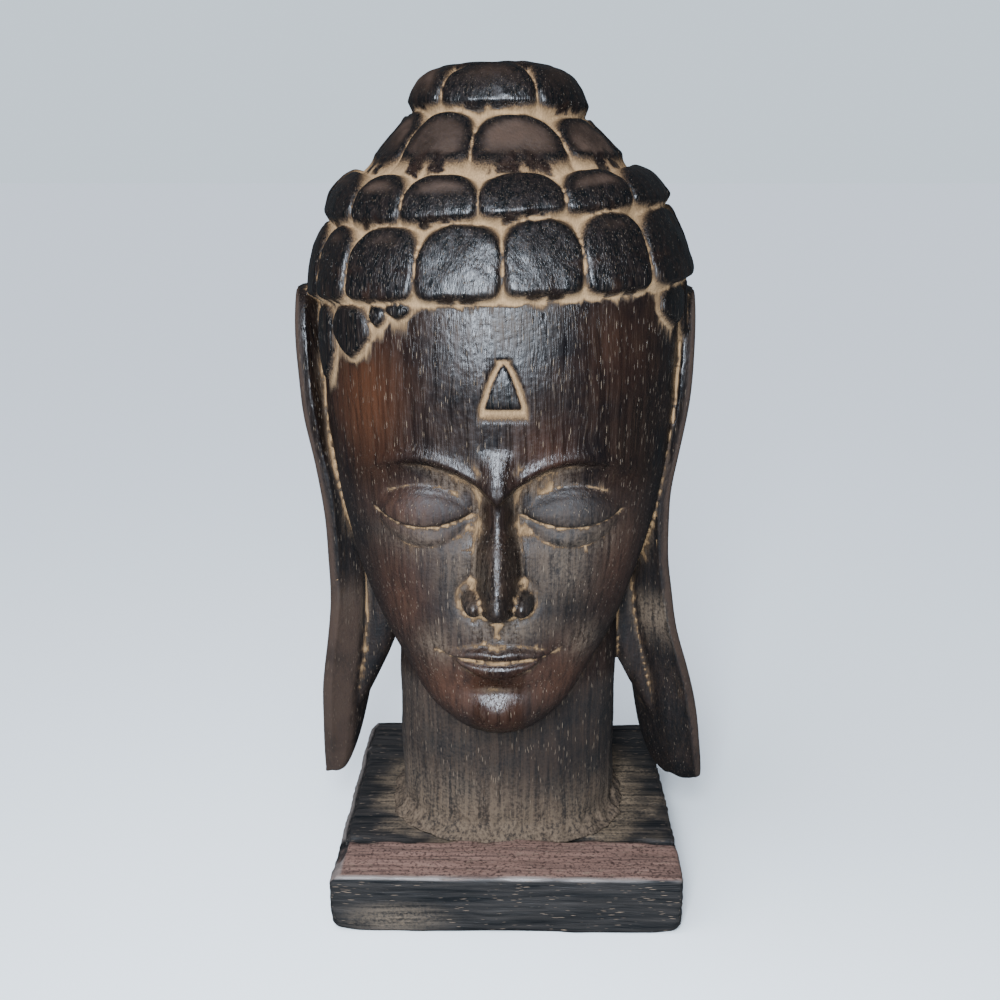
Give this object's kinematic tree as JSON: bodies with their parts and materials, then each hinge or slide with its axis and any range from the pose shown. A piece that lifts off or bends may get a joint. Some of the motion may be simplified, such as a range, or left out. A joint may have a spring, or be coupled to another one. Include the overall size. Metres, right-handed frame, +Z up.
{
  "type": "wooden buddha head",
  "caption": "Dark carved hardwood head with rows of curls, long hanging ears and a straight neck, standing on a low rectangular base board.",
  "frame": {"origin": "centre of the base board's underside, on the surface that it stands on", "axes": "+Z up through the crown, the face looks along -Y, +X to the right as the face is seen"},
  "size_m": [0.1535, 0.1417, 0.301],
  "materials": {
    "carved_hardwood": "waxed, with pale pigment left in the grooves and open pores",
    "base_hardwood": "waxed, worn along the edges"
  },
  "bodies": {
    "root": {"carved_head": "carved_hardwood", "base_block": "base_hardwood"}
  },
  "joints": []
}
